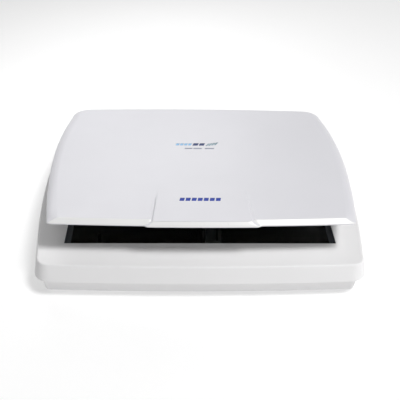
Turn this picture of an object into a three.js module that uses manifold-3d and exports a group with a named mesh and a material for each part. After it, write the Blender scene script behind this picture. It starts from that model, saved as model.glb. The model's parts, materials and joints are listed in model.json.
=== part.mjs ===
// A flatbed scanner for A4 sheets, standing on a desk with its lid ajar.
// Millimetres. +X is right, +Y is back, +Z is up. The origin is on the desk, under the
// middle of the base. The lid is drawn closed, and its group then turns it open.
import * as THREE from 'three';
import { mergeVertices } from 'three/addons/utils/BufferGeometryUtils.js';
import Module from 'manifold-3d';

const wasm = await Module();
wasm.setup();

// ---------------------------------------------------------------- driving dimensions

const GAP = 0.3;
const WALL = 2.5;
const FAR = 200;
const ROUND_STEPS = 20;
const CURVE_STEPS = 7;

const FOOT_HEIGHT = 2.8;
const TRAY_BOTTOM = 3.1;
const SKIRT_BOTTOM = 27.3;
const DECK = 48.5;
const GLASS_TOP = 47.5;
const GLASS_THICKNESS = 3;

// The base seen from above: bowed on all four sides, with rounded corners.
const BASE = {
  front: -149.8, rear: 149.8, bow: 3.5,
  frontHalf: 182.3, rearHalf: 182.3, middleHalf: 193.2,
  frontRadius: 17, rearRadius: 17,
};
const FLARE = 5;
const DECK_CHAMFER = 1;
// The lower case keeps to the same outline, with tighter corners.
const TRAY = { ...BASE, frontRadius: 10, rearRadius: 10 };
const TRAY_INSET_TOP = 2.5;
const TRAY_INSET_BOTTOM = 5;

// The sheet area and the glass over it.
const SHEET_LENGTH = 297;
const WINDOW = { half: 155, front: -111.5, rear: 114.5 };
const GLASS_LAP = 5;

// The lid, closed: narrower at the front, and thicker at the back.
const LID = {
  front: -136.9, rear: 147.5, bow: 4,
  frontHalf: 166, rearHalf: 176, middleHalf: 181.5,
  frontRadius: 6, rearRadius: 26,
};
// The line where the lid's top meets its edge: a steep bevel in front, a broad one at the sides.
const LID_CREST = {
  front: LID.front + 3.1, rear: LID.rear - 8, bow: LID.bow,
  frontHalf: LID.frontHalf - 11.5, rearHalf: LID.rearHalf - 10, middleHalf: LID.middleHalf - 10,
  frontRadius: 2, rearRadius: 18,
};
const LID_RIM = DECK + 0.6;
const LID_WALL = 2.4;
const LID_BEVEL_DROP = 5;
const LID_TOP_FRONT = LID_RIM + 6.2;
const LID_TOP_REAR = 71;
const LID_CROWN = 1.2;
const LID_OPEN = THREE.MathUtils.degToRad(9.5);
const TAB = { half: 60, taper: 2, front: -139.3, depth: 9, step: 1.4, setBack: 2 };

const HINGE = { y: 140, z: 57.3, x: 114, barrelHalf: 7.5, barrelRadius: 3.9, pinRadius: 1.5 };
const LEG = { thickness: 4.2, bottom: 24, sleeveBottom: 31, sleeveWall: 1.6 };
const LUG_WIDTH = 3;
const BUMPER = { x: 120, y: -122, radius: 4 };

// The drive: a rod and a toothed belt that pull the sensor bar along X.
const WELL = { half: 174, front: -115.6, rear: 118.6, wall: 1.4, top: 43.5, bottom: 6 };
const FLOOR = TRAY_BOTTOM + WALL;
const CARRIAGE = { x: 15, half: 13, front: -112, rear: 115, bottom: 25, top: 38, wall: 2 };
const RIDER = { half: 18, reach: 7.5 };
const RAIL = { half: 168, front: -94, rear: -90, top: 20 };
const SHOE = { half: 8, overhang: 2 };
const ROD = { y: -2, z: 18, radius: 3, half: 171.5 };
const PULLEY = {
  y: 14, bottom: 11, top: 18, radius: 5, flange: 6, bore: 1.8, axle: 1.4, driveX: -156, idlerX: 164,
};
const BELT = { thickness: 1.2, bottom: 12.2, top: 16.8 };
const GEAR = { module: 1, pinionTeeth: 10, wheelTeeth: 30, bottom: 6.6, top: 9.6 };
const GEAR_PLAY = 0.5;
const CLAMP_OFFSET = 4;
const MOTOR = { radius: 11, bottom: 11.4, top: 22.4, earHalf: 14, shaft: 1.2 };

const FEET = { x: 140, y: 112, radius: 7.5 };
const POST = { x: 150, y: 130, radius: 5, seam: 26.2, headRoom: 3.5 };
const CASE_SCREW = { head: 3.4, shank: 1.4, bore: 1.8 };
const BOARD = { left: 8, right: 96, front: 121, rear: 139, bottom: 8.2, thickness: 1.6 };
const BOARD_SCREW = { y: 130, left: BOARD.left + 5, right: BOARD.right - 5, head: 2.6, shank: 1 };
const CHIP = { left: 76, front: 124, size: 10, height: 1.5 };
const CABLE = { left: 14, right: 26, front: 62, rear: 120.5, bottom: 6.6, thickness: 0.4 };
const USB = { x: 40, width: 12, height: 11, depth: 16, mouthWidth: 8.6, mouthHeight: 7.8 };
const JACK = { x: 66, width: 9.5, height: 11, depth: 13, boreRadius: 3.2, pinRadius: 1 };
const LOCK = { x: -120, y: -60, travel: 8, half: 3, reach: 4, top: 21 };

// ---------------------------------------------------------------- materials

function material(name, color, roughness, metalness = 0) {
  const made = new THREE.MeshStandardMaterial({ color, roughness, metalness });
  made.name = name;
  return made;
}

const MATERIALS = {
  lidWhite: material('lid_white', 0xe6e6ea, 0.42),
  baseWhite: material('base_white', 0xe2e3e4, 0.48),
  liner: material('liner_white', 0xdedfdd, 0.55),
  pad: material('pad_white', 0xf2f2ef, 0.9),
  glass: material('clear_glass', 0x1a1c20, 0.05),
  border: material('border_film', 0x2b2d31, 0.6),
  black: material('inner_black', 0x17181a, 0.6),
  strip: material('reference_white', 0xf4f4f2, 0.7),
  rubber: material('foot_rubber', 0x2a2a2b, 0.85),
  steel: material('plain_steel', 0xb4b6b8, 0.3, 1),
  zinc: material('zinc_plate', 0xa9abad, 0.4, 1),
  beltRubber: material('belt_rubber', 0x202124, 0.75),
  nylon: material('nylon_white', 0xe9e6dc, 0.5),
  board: material('board_green', 0x1f5a3a, 0.5),
  chip: material('chip_black', 0x141415, 0.4),
  cable: material('cable_film', 0xd9dce0, 0.45),
};

// ---------------------------------------------------------------- geometry helpers

function solid(geometry) {
  const bare = geometry.clone();
  bare.deleteAttribute('normal');
  bare.deleteAttribute('uv');
  const merged = mergeVertices(bare, 1e-4);
  const index = merged.index.array;
  const triangles = [];
  for (let i = 0; i < index.length; i += 3) {
    const [a, b, c] = [index[i], index[i + 1], index[i + 2]];
    if (a !== b && b !== c && c !== a) {
      triangles.push(a, b, c);
    }
  }
  return new wasm.Manifold(new wasm.Mesh({
    numProp: 3,
    vertProperties: new Float32Array(merged.attributes.position.array),
    triVerts: new Uint32Array(triangles),
  }));
}

function geometryOf(shape) {
  const made = shape.getMesh();
  const geometry = new THREE.BufferGeometry();
  geometry.setAttribute('position', new THREE.BufferAttribute(made.vertProperties.slice(), 3));
  geometry.setIndex(new THREE.BufferAttribute(made.triVerts.slice(), 1));
  geometry.computeVertexNormals();
  return geometry;
}

function block(x0, x1, y0, y1, z0, z1) {
  const geometry = new THREE.BoxGeometry(x1 - x0, y1 - y0, z1 - z0);
  geometry.translate((x0 + x1) / 2, (y0 + y1) / 2, (z0 + z1) / 2);
  return solid(geometry);
}

function uprightRod(x, y, radius, z0, z1) {
  const geometry = new THREE.CylinderGeometry(radius, radius, z1 - z0, ROUND_STEPS);
  geometry.rotateX(Math.PI / 2);
  geometry.translate(x, y, (z0 + z1) / 2);
  return solid(geometry);
}

function crossRod(x0, x1, y, z, radius) {
  const geometry = new THREE.CylinderGeometry(radius, radius, x1 - x0, ROUND_STEPS);
  geometry.rotateZ(Math.PI / 2);
  geometry.translate((x0 + x1) / 2, y, z);
  return solid(geometry);
}

function rearwardRod(x, z, radius, y0, y1) {
  const geometry = new THREE.CylinderGeometry(radius, radius, y1 - y0, ROUND_STEPS);
  geometry.translate(x, (y0 + y1) / 2, z);
  return solid(geometry);
}

function plate(shape, z0, z1, curveSegments = CURVE_STEPS) {
  const geometry = new THREE.ExtrudeGeometry(shape, {
    depth: z1 - z0, bevelEnabled: false, curveSegments,
  });
  geometry.translate(0, 0, z0);
  return solid(geometry);
}

// The closed outline of the base or the lid, moved inwards by inset.
function outline(plan, inset) {
  const front = plan.front + inset;
  const rear = plan.rear - inset;
  const fh = plan.frontHalf - inset;
  const rh = plan.rearHalf - inset;
  const bulge = 2 * (plan.middleHalf - inset) - (fh + rh) / 2;
  const fr = Math.max(plan.frontRadius - inset, 1);
  const rr = Math.max(plan.rearRadius - inset, 1);
  const middle = (front + rear) / 2;
  const shape = new THREE.Shape();
  shape.moveTo(-(fh - fr), front + plan.bow);
  shape.quadraticCurveTo(0, front - plan.bow, fh - fr, front + plan.bow);
  shape.quadraticCurveTo(fh, front + plan.bow, fh, front + plan.bow + fr);
  shape.quadraticCurveTo(bulge, middle, rh, rear - plan.bow - rr);
  shape.quadraticCurveTo(rh, rear - plan.bow, rh - rr, rear - plan.bow);
  shape.quadraticCurveTo(0, rear + plan.bow, -(rh - rr), rear - plan.bow);
  shape.quadraticCurveTo(-rh, rear - plan.bow, -rh, rear - plan.bow - rr);
  shape.quadraticCurveTo(-bulge, middle, -fh, front + plan.bow + fr);
  shape.quadraticCurveTo(-fh, front + plan.bow, -(fh - fr), front + plan.bow);
  return shape;
}

// One ring of a loft. The height is a number or a function of y.
function ring(plan, inset, height) {
  const points = outline(plan, inset).getPoints(CURVE_STEPS).slice(0, -1);
  const heightAt = typeof height === 'function' ? height : () => height;
  return points.map((p) => new THREE.Vector3(p.x, p.y, heightAt(p.y)));
}

// A closed solid through rings of the same number of points, from the bottom to the top.
function loft(rings) {
  const count = rings[0].length;
  const positions = rings.flat().flatMap((p) => [p.x, p.y, p.z]);
  const index = [];
  for (let level = 0; level < rings.length - 1; level += 1) {
    for (let i = 0; i < count; i += 1) {
      const next = (i + 1) % count;
      const [a, b] = [level * count + i, level * count + next];
      const [c, d] = [a + count, b + count];
      index.push(a, b, d, a, d, c);
    }
  }
  const capOf = (points) => THREE.ShapeUtils.triangulateShape(
    points.map((p) => new THREE.Vector2(p.x, p.y)), []);
  for (const [a, b, c] of capOf(rings[0])) {
    index.push(a, c, b);
  }
  const lastLevel = (rings.length - 1) * count;
  for (const [a, b, c] of capOf(rings[rings.length - 1])) {
    index.push(lastLevel + a, lastLevel + b, lastLevel + c);
  }
  const geometry = new THREE.BufferGeometry();
  geometry.setAttribute('position', new THREE.Float32BufferAttribute(positions, 3));
  geometry.setIndex(index);
  return solid(geometry);
}

function frameOf(outer, inner, z0, z1) {
  const hole = block(inner.x0, inner.x1, inner.y0, inner.y1, z0 - 1, z1 + 1);
  return block(outer.x0, outer.x1, outer.y0, outer.y1, z0, z1).subtract(hole);
}

const scanner = new THREE.Group();

function addPiece(parent, name, shape, look) {
  const mesh = new THREE.Mesh(geometryOf(shape), look.clone());
  mesh.name = name;
  parent.add(mesh);
  return mesh;
}

const add = (name, shape, look) => addPiece(scanner, name, shape, look);
const SIDES = [['left', -1], ['right', 1]];
const CORNERS = [
  ['front_left', -1, -1], ['front_right', 1, -1], ['rear_left', -1, 1], ['rear_right', 1, 1],
];

// ---------------------------------------------------------------- base shells and glass

const glass = {
  x0: -WINDOW.half - GLASS_LAP, x1: WINDOW.half + GLASS_LAP,
  y0: WINDOW.front - GLASS_LAP, y1: WINDOW.rear + GLASS_LAP,
};

function legSleeve(side) {
  const x = side * HINGE.x;
  const half = HINGE.barrelHalf + GAP + LEG.sleeveWall;
  const depth = LEG.thickness / 2 + GAP + LEG.sleeveWall;
  return block(x - half, x + half, HINGE.y - depth, HINGE.y + depth, LEG.sleeveBottom, DECK - 1);
}

function legSlot(side) {
  const x = side * HINGE.x;
  const half = HINGE.barrelHalf + GAP;
  const depth = LEG.thickness / 2 + GAP;
  return block(x - half, x + half, HINGE.y - depth, HINGE.y + depth,
    LEG.sleeveBottom - 1, DECK + 1);
}

function baseCover() {
  let cover = loft([
    ring(BASE, -FLARE, SKIRT_BOTTOM),
    ring(BASE, 0, DECK - DECK_CHAMFER),
    ring(BASE, DECK_CHAMFER, DECK),
  ]).subtract(loft([
    ring(BASE, WALL - FLARE - 0.2, SKIRT_BOTTOM - 1),
    ring(BASE, WALL, DECK - WALL),
  ]));
  for (const [, side] of SIDES) {
    cover = cover.add(legSleeve(side)).subtract(legSlot(side));
  }
  for (const [, sx, sy] of CORNERS) {
    const [x, y] = [sx * POST.x, sy * POST.y];
    cover = cover.add(uprightRod(x, y, POST.radius - 0.5, POST.seam + GAP, DECK - 1));
    cover = cover.subtract(uprightRod(x, y, CASE_SCREW.bore, POST.seam, DECK - 8));
  }
  const pocket = block(glass.x0 - GAP, glass.x1 + GAP, glass.y0 - GAP, glass.y1 + GAP,
    DECK - WALL - 1, GLASS_TOP + GAP);
  const opening = block(-WINDOW.half, WINDOW.half, WINDOW.front, WINDOW.rear, 40, DECK + 1);
  return cover.subtract(pocket).subtract(opening);
}

function portHoles() {
  const z = BOARD.bottom + BOARD.thickness + GAP;
  const usb = block(USB.x - USB.width / 2 - 0.6, USB.x + USB.width / 2 + 0.6,
    BOARD.rear - 9, FAR, z - 0.6, z + USB.height + 0.6);
  const jack = block(JACK.x - JACK.width / 2 - 0.6, JACK.x + JACK.width / 2 + 0.6,
    BOARD.rear - 9, FAR, z - 0.6, z + JACK.height + 0.6);
  return usb.add(jack);
}

function baseTray() {
  const flangeTop = SKIRT_BOTTOM + 2.4;
  let tray = loft([
    ring(TRAY, TRAY_INSET_BOTTOM + 1.2, TRAY_BOTTOM),
    ring(TRAY, TRAY_INSET_BOTTOM, TRAY_BOTTOM + 1.2),
    ring(TRAY, TRAY_INSET_TOP, SKIRT_BOTTOM + 0.6),
  ]).add(loft([
    ring(BASE, WALL - FLARE + 0.5, SKIRT_BOTTOM + 0.4),
    ring(BASE, WALL - FLARE + 0.8, flangeTop),
  ])).subtract(loft([
    ring(TRAY, TRAY_INSET_BOTTOM + WALL, FLOOR),
    ring(TRAY, TRAY_INSET_TOP + WALL - 0.4, flangeTop + 1),
  ]));
  for (const [, sx, sy] of CORNERS) {
    const [x, y] = [sx * POST.x, sy * POST.y];
    tray = tray.add(uprightRod(x, y, POST.radius, FLOOR - 1, POST.seam));
    tray = tray.subtract(uprightRod(x, y, CASE_SCREW.bore + 0.1, TRAY_BOTTOM, POST.seam + 1));
    tray = tray.subtract(uprightRod(x, y, CASE_SCREW.head + 0.6, TRAY_BOTTOM - 1,
      TRAY_BOTTOM + POST.headRoom));
  }
  for (const x of [BOARD_SCREW.left, BOARD_SCREW.right]) {
    const bore = BOARD_SCREW.shank + GAP;
    tray = tray.add(uprightRod(x, BOARD_SCREW.y, BOARD_SCREW.head, FLOOR - 1, BOARD.bottom - GAP));
    tray = tray.subtract(uprightRod(x, BOARD_SCREW.y, bore, FLOOR - 1, BOARD.bottom));
  }
  const lockSlot = block(LOCK.x - LOCK.half - 0.5, LOCK.x + LOCK.half + 0.5,
    LOCK.y - LOCK.reach - 0.5, LOCK.y + LOCK.reach + LOCK.travel + 0.5, TRAY_BOTTOM - 1, FLOOR + 1);
  return tray.subtract(lockSlot).subtract(portHoles());
}

function scanWell() {
  const { half, front, rear, wall, top, bottom } = WELL;
  const walls = frameOf(
    { x0: -half, x1: half, y0: front, y1: rear },
    { x0: -half + wall, x1: half - wall, y0: front + wall, y1: rear - wall },
    bottom, top,
  );
  const cableSlot = block(CABLE.left - 2, CABLE.right + 2, rear - wall - 1, rear + 1,
    bottom - 1, bottom + 2.5);
  return walls.subtract(cableSlot);
}

add('base_cover', baseCover(), MATERIALS.baseWhite);
add('base_tray', baseTray(), MATERIALS.baseWhite);
add('glass_pane', block(glass.x0, glass.x1, glass.y0, glass.y1,
  GLASS_TOP - GLASS_THICKNESS, GLASS_TOP), MATERIALS.glass);
add('glass_border', frameOf(
  { x0: glass.x0 + 1, x1: glass.x1 - 1, y0: glass.y0 + 3, y1: glass.y1 - 3 },
  { x0: -SHEET_LENGTH / 2, x1: SHEET_LENGTH / 2, y0: WINDOW.front, y1: WINDOW.rear },
  GLASS_TOP - GLASS_THICKNESS - 0.7, GLASS_TOP - GLASS_THICKNESS - GAP,
), MATERIALS.border);
add('scan_well', scanWell(), MATERIALS.black);
add('reference_strip', block(-SHEET_LENGTH / 2 - 5.5, -SHEET_LENGTH / 2 - 1,
  WINDOW.front + 12, WINDOW.rear - 12, 43.1, 43.5), MATERIALS.strip);

for (const [corner, sx, sy] of CORNERS) {
  const foot = new THREE.CylinderGeometry(FEET.radius, FEET.radius - 0.8, FOOT_HEIGHT, ROUND_STEPS);
  foot.rotateX(Math.PI / 2);
  foot.translate(sx * FEET.x, sy * FEET.y, FOOT_HEIGHT / 2);
  add(`foot_${corner}`, solid(foot), MATERIALS.rubber);
  const [x, y] = [sx * POST.x, sy * POST.y];
  const head = uprightRod(x, y, CASE_SCREW.head, TRAY_BOTTOM + 0.8, TRAY_BOTTOM + 3.1);
  const shank = uprightRod(x, y, CASE_SCREW.shank, TRAY_BOTTOM + 3, DECK - 12);
  add(`case_screw_${corner}`, head.add(shank), MATERIALS.zinc);
}

// ---------------------------------------------------------------- electronics and sockets

const boardTop = BOARD.bottom + BOARD.thickness;
const socketBottom = boardTop + GAP;
const mouthY = BASE.rear - TRAY_INSET_BOTTOM + 0.4;

function usbShell() {
  const z = socketBottom + USB.height / 2;
  const body = block(USB.x - USB.width / 2, USB.x + USB.width / 2,
    mouthY - USB.depth, mouthY, socketBottom, socketBottom + USB.height);
  return body.subtract(block(USB.x - USB.mouthWidth / 2, USB.x + USB.mouthWidth / 2,
    mouthY - USB.depth + 2, mouthY + 1, z - USB.mouthHeight / 2, z + USB.mouthHeight / 2));
}

function jackBody() {
  const z = socketBottom + JACK.height / 2;
  const body = block(JACK.x - JACK.width / 2, JACK.x + JACK.width / 2,
    mouthY - JACK.depth, mouthY, socketBottom, socketBottom + JACK.height);
  return body.subtract(rearwardRod(JACK.x, z, JACK.boreRadius, mouthY - JACK.depth + 2, mouthY + 1));
}

const boardScrewHoles = uprightRod(BOARD_SCREW.left, BOARD_SCREW.y, 1.5, 0, DECK)
  .add(uprightRod(BOARD_SCREW.right, BOARD_SCREW.y, 1.5, 0, DECK));
add('main_board', block(BOARD.left, BOARD.right, BOARD.front, BOARD.rear, BOARD.bottom, boardTop)
  .subtract(boardScrewHoles), MATERIALS.board);
add('processor_chip', block(CHIP.left, CHIP.left + CHIP.size, CHIP.front, CHIP.front + CHIP.size,
  boardTop + GAP, boardTop + GAP + CHIP.height), MATERIALS.chip);
for (const [side] of SIDES) {
  const x = BOARD_SCREW[side];
  const head = uprightRod(x, BOARD_SCREW.y, BOARD_SCREW.head, boardTop + GAP, boardTop + 1.9);
  const shank = uprightRod(x, BOARD_SCREW.y, BOARD_SCREW.shank, FLOOR, boardTop + 1);
  add(`board_screw_${side}`, head.add(shank), MATERIALS.zinc);
}
add('usb_shell', usbShell(), MATERIALS.zinc);
add('usb_tongue', block(USB.x - 2.8, USB.x + 2.8, mouthY - USB.depth + 2 + GAP, mouthY - 3,
  socketBottom + USB.height / 2 - 1.6, socketBottom + USB.height / 2 + 1.6), MATERIALS.nylon);
add('power_jack', jackBody(), MATERIALS.chip);
add('power_jack_pin', rearwardRod(JACK.x, socketBottom + JACK.height / 2, JACK.pinRadius,
  mouthY - JACK.depth + 2 + GAP, mouthY - 2), MATERIALS.steel);
add('sensor_cable', block(CABLE.left, CABLE.right, CABLE.front, CABLE.rear,
  CABLE.bottom, CABLE.bottom + CABLE.thickness), MATERIALS.cable);

// ---------------------------------------------------------------- guide, motor and belt

function rodBracket(side) {
  const inner = ROD.half - 3;
  const x = [side * inner, side * (ROD.half + 0.7)].sort((a, b) => a - b);
  return block(x[0], x[1], ROD.y - 7, ROD.y + 5, FLOOR + GAP, ROD.z + 5.5)
    .subtract(crossRod(-ROD.half - GAP, ROD.half + GAP, ROD.y, ROD.z, ROD.radius + GAP));
}

function roundedLoop(offset) {
  const radius = PULLEY.radius + offset;
  const shape = new THREE.Shape();
  shape.moveTo(PULLEY.driveX, PULLEY.y - radius);
  shape.lineTo(PULLEY.idlerX, PULLEY.y - radius);
  shape.absarc(PULLEY.idlerX, PULLEY.y, radius, -Math.PI / 2, Math.PI / 2, false);
  shape.lineTo(PULLEY.driveX, PULLEY.y + radius);
  shape.absarc(PULLEY.driveX, PULLEY.y, radius, Math.PI / 2, 1.5 * Math.PI, false);
  return shape;
}

function beltLoop() {
  const shape = roundedLoop(GAP + BELT.thickness);
  shape.holes.push(roundedLoop(GAP));
  return plate(shape, BELT.bottom, BELT.top, 8);
}

// A spur gear of plain tapered teeth. A tooth points along phase.
function gearShape(teeth, phase) {
  const pitch = (GEAR.module * teeth) / 2;
  const [root, tip] = [pitch - 1.35 * GEAR.module, pitch + 0.8 * GEAR.module];
  const step = (2 * Math.PI) / teeth;
  const shape = new THREE.Shape();
  const profile = [[root, -0.27], [tip, -0.1], [tip, 0.1], [root, 0.27]];
  for (let tooth = 0; tooth < teeth; tooth += 1) {
    for (const [radius, share] of profile) {
      const angle = phase + (tooth + share) * step;
      const point = [radius * Math.cos(angle), radius * Math.sin(angle)];
      if (tooth === 0 && share === profile[0][1]) {
        shape.moveTo(...point);
      } else {
        shape.lineTo(...point);
      }
    }
  }
  return shape;
}

function pulleyAt(x) {
  const groove = uprightRod(x, PULLEY.y, PULLEY.radius, PULLEY.bottom, PULLEY.top);
  const lower = uprightRod(x, PULLEY.y, PULLEY.flange, PULLEY.bottom, PULLEY.bottom + 0.8);
  const upper = uprightRod(x, PULLEY.y, PULLEY.flange, PULLEY.top - 0.8, PULLEY.top);
  return groove.add(lower).add(upper);
}

function drivePulley() {
  const wheel = plate(gearShape(GEAR.wheelTeeth, Math.PI / 2), GEAR.bottom, GEAR.top)
    .translate([PULLEY.driveX, PULLEY.y, 0]);
  const hub = uprightRod(PULLEY.driveX, PULLEY.y, 4, GEAR.bottom, PULLEY.bottom + 1);
  return pulleyAt(PULLEY.driveX).add(wheel).add(hub)
    .subtract(uprightRod(PULLEY.driveX, PULLEY.y, PULLEY.bore, 0, DECK));
}

const motorY = PULLEY.y + (GEAR.module * (GEAR.wheelTeeth + GEAR.pinionTeeth)) / 2 + GEAR_PLAY;

function motorPinion() {
  const halfTooth = Math.PI / GEAR.pinionTeeth;
  const teeth = plate(gearShape(GEAR.pinionTeeth, -Math.PI / 2 + halfTooth), GEAR.bottom, GEAR.top)
    .translate([PULLEY.driveX, motorY, 0]);
  return teeth.add(uprightRod(PULLEY.driveX, motorY, MOTOR.shaft, GEAR.bottom, MOTOR.bottom + 3));
}

function motorBody() {
  const can = uprightRod(PULLEY.driveX, motorY, MOTOR.radius, MOTOR.bottom, MOTOR.top);
  const ears = block(PULLEY.driveX - MOTOR.earHalf, PULLEY.driveX + MOTOR.earHalf,
    motorY - 3.5, motorY + 3.5, MOTOR.top - 1, MOTOR.top);
  const shaftHole = uprightRod(PULLEY.driveX, motorY, MOTOR.shaft + 0.4,
    MOTOR.bottom - 1, MOTOR.bottom + 3 + GAP);
  return can.add(ears).subtract(shaftHole);
}

function motorBracket() {
  const [x0, x1] = [PULLEY.driveX - MOTOR.earHalf, PULLEY.driveX + MOTOR.earHalf];
  const [y0, y1] = [motorY - 11, motorY + 16];
  const top = block(x0, x1, y0, y1, MOTOR.top + GAP, MOTOR.top + 1.7);
  const leg = block(x0, x1, y1 - 2, y1, FLOOR + GAP, MOTOR.top + 1);
  return top.add(leg);
}

add('guide_rod', crossRod(-ROD.half, ROD.half, ROD.y, ROD.z, ROD.radius), MATERIALS.steel);
for (const [side, sign] of SIDES) {
  add(`rod_bracket_${side}`, rodBracket(sign), MATERIALS.zinc);
}
add('support_rail', block(-RAIL.half, RAIL.half, RAIL.front, RAIL.rear, FLOOR + GAP, RAIL.top),
  MATERIALS.black);
add('drive_belt', beltLoop(), MATERIALS.beltRubber);
for (const [side, x] of [['left', PULLEY.driveX], ['right', PULLEY.idlerX]]) {
  add(`pulley_axle_${side}`, uprightRod(x, PULLEY.y, PULLEY.axle, FLOOR + GAP, PULLEY.top + 2),
    MATERIALS.steel);
}
add('motor_body', motorBody(), MATERIALS.steel);
add('motor_bracket', motorBracket(), MATERIALS.zinc);
add('drive_pulley', drivePulley(), MATERIALS.nylon);
add('idler_pulley', pulleyAt(PULLEY.idlerX)
  .subtract(uprightRod(PULLEY.idlerX, PULLEY.y, PULLEY.bore, 0, DECK)), MATERIALS.nylon);
add('motor_pinion', motorPinion(), MATERIALS.nylon);

function carriageLock() {
  const around = (half, reach, bottom, top) => block(LOCK.x - half, LOCK.x + half,
    LOCK.y - reach, LOCK.y + reach, bottom, top);
  const knob = around(LOCK.half, LOCK.reach, TRAY_BOTTOM - 1.5, FLOOR + 1);
  const wing = around(LOCK.half + 4, LOCK.reach + 2, FLOOR + GAP, FLOOR + 2);
  const hook = around(2, 2, FLOOR + 1, LOCK.top);
  return knob.add(wing).add(hook);
}

add('carriage_lock', carriageLock(), MATERIALS.rubber);

// ---------------------------------------------------------------- sensor carriage

const carriage = new THREE.Group();
carriage.position.x = CARRIAGE.x;
scanner.add(carriage);

const SENSOR = { half: 9, front: -109, rear: 112, bottom: 31, top: 42 };
const SPRING = { radius: 3.2, wire: 0.4, turns: 3, y: 70 };

function carriageFrame() {
  const { half, front, rear, bottom, top, wall } = CARRIAGE;
  const trough = block(-half, half, front, rear, bottom, top)
    .subtract(block(-half + wall, half - wall, front + wall, rear - wall, bottom + wall, top + 1));
  const rider = block(-RIDER.half, RIDER.half, ROD.y - RIDER.reach, ROD.y + RIDER.reach,
    ROD.z - 5, bottom + 1)
    .subtract(crossRod(-RIDER.half - 1, RIDER.half + 1, ROD.y, ROD.z, ROD.radius + GAP));
  const shoe = block(-SHOE.half, SHOE.half, RAIL.front - SHOE.overhang, RAIL.rear + SHOE.overhang,
    RAIL.top + GAP, bottom + 1);
  return trough.add(rider).add(shoe);
}

class Helix extends THREE.Curve {
  getPoint(t, target = new THREE.Vector3()) {
    const angle = t * SPRING.turns * 2 * Math.PI;
    const z0 = CARRIAGE.bottom + CARRIAGE.wall + GAP + SPRING.wire;
    const z1 = SENSOR.bottom - GAP - SPRING.wire;
    return target.set(SPRING.radius * Math.cos(angle), SPRING.radius * Math.sin(angle),
      z0 + (z1 - z0) * t);
  }
}

function springAt(y) {
  const wire = new THREE.Shape();
  wire.absarc(0, 0, SPRING.wire, 0, 2 * Math.PI, false);
  const geometry = new THREE.ExtrudeGeometry(wire, {
    extrudePath: new Helix(), steps: 12 * SPRING.turns, curveSegments: 3, bevelEnabled: false,
  });
  geometry.translate(0, y, 0);
  return solid(geometry);
}

function beltClamp() {
  const strand = PULLEY.y + PULLEY.radius + GAP + BELT.thickness / 2;
  const jaw = block(CLAMP_OFFSET - 5, CLAMP_OFFSET + 5, strand - 2.2, strand + 2.2,
    BELT.bottom - 0.9, CARRIAGE.bottom - GAP);
  return jaw.subtract(block(CLAMP_OFFSET - 9, CLAMP_OFFSET + 9, strand - 1, strand + 1,
    BELT.bottom - 2, BELT.top + 0.4));
}

const addToCarriage = (name, shape, look) => addPiece(carriage, name, shape, look);

addToCarriage('carriage_frame', carriageFrame(), MATERIALS.black);
addToCarriage('sensor_bar', block(-SENSOR.half, SENSOR.half, SENSOR.front, SENSOR.rear,
  SENSOR.bottom, SENSOR.top), MATERIALS.chip);
addToCarriage('sensor_window', block(-5, 5, SENSOR.front + 8, SENSOR.rear - 8,
  SENSOR.top + GAP, SENSOR.top + 1), MATERIALS.glass);
for (const [end, y] of [['front', -SPRING.y], ['rear', SPRING.y]]) {
  addToCarriage(`sensor_spring_${end}`, springAt(y), MATERIALS.steel);
}
for (const [end, y] of [['front', SENSOR.front + 4], ['rear', SENSOR.rear - 4]]) {
  addToCarriage(`sensor_glider_${end}`, block(-7, 7, y - 2.5, y + 2.5, SENSOR.top + GAP,
    SENSOR.top + 1.3), MATERIALS.nylon);
}
addToCarriage('belt_clamp', beltClamp(), MATERIALS.nylon);

// ---------------------------------------------------------------- hinge legs

function hingeLeg(side) {
  const x = side * HINGE.x;
  const bar = block(x - HINGE.barrelHalf, x + HINGE.barrelHalf, HINGE.y - LEG.thickness / 2,
    HINGE.y + LEG.thickness / 2, LEG.bottom, HINGE.z);
  const barrel = crossRod(x - HINGE.barrelHalf, x + HINGE.barrelHalf, HINGE.y, HINGE.z,
    HINGE.barrelRadius);
  const bore = crossRod(x - 20, x + 20, HINGE.y, HINGE.z, HINGE.pinRadius + GAP);
  return bar.add(barrel).subtract(bore);
}

for (const [side, sign] of SIDES) {
  add(`hinge_leg_${side}`, hingeLeg(sign), MATERIALS.nylon);
}

// ---------------------------------------------------------------- lid

const lid = new THREE.Group();
lid.position.set(0, HINGE.y, HINGE.z);
lid.rotation.x = -LID_OPEN;
scanner.add(lid);

function addToLid(name, shape, look) {
  return addPiece(lid, name, shape.translate([0, -HINGE.y, -HINGE.z]), look);
}

// The height of the lid's top, rising from the front edge and flattening to the back.
function lidTop(y) {
  const share = THREE.MathUtils.clamp((y - LID.front) / (LID.rear - LID.front), 0, 1);
  return LID_TOP_FRONT + (LID_TOP_REAR - LID_TOP_FRONT) * (1 - (1 - share) ** 1.5);
}

const LID_SCREWS = { x: 161, front: -58, rear: 92, head: 3, shank: 1.2, boss: 3.6 };
const LID_DOME_INSET = 45;

function lidBody() {
  const body = loft([
    ring(LID, 0, LID_RIM),
    ring(LID, 0, (y) => lidTop(y) - LID_BEVEL_DROP),
    ring(LID_CREST, 0, lidTop),
    ring(LID, LID_DOME_INSET, (y) => lidTop(y) + LID_CROWN),
  ]);
  return body.subtract(loft([
    ring(LID, LID_WALL, LID_RIM - 1),
    ring(LID, LID_WALL, (y) => Math.max(lidTop(y) - LID_BEVEL_DROP - 1, LID_RIM)),
    ring(LID_CREST, 1.5, (y) => lidTop(y) - LID_WALL),
    ring(LID, LID_DOME_INSET, (y) => lidTop(y) + LID_CROWN - LID_WALL),
  ]));
}

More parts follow.
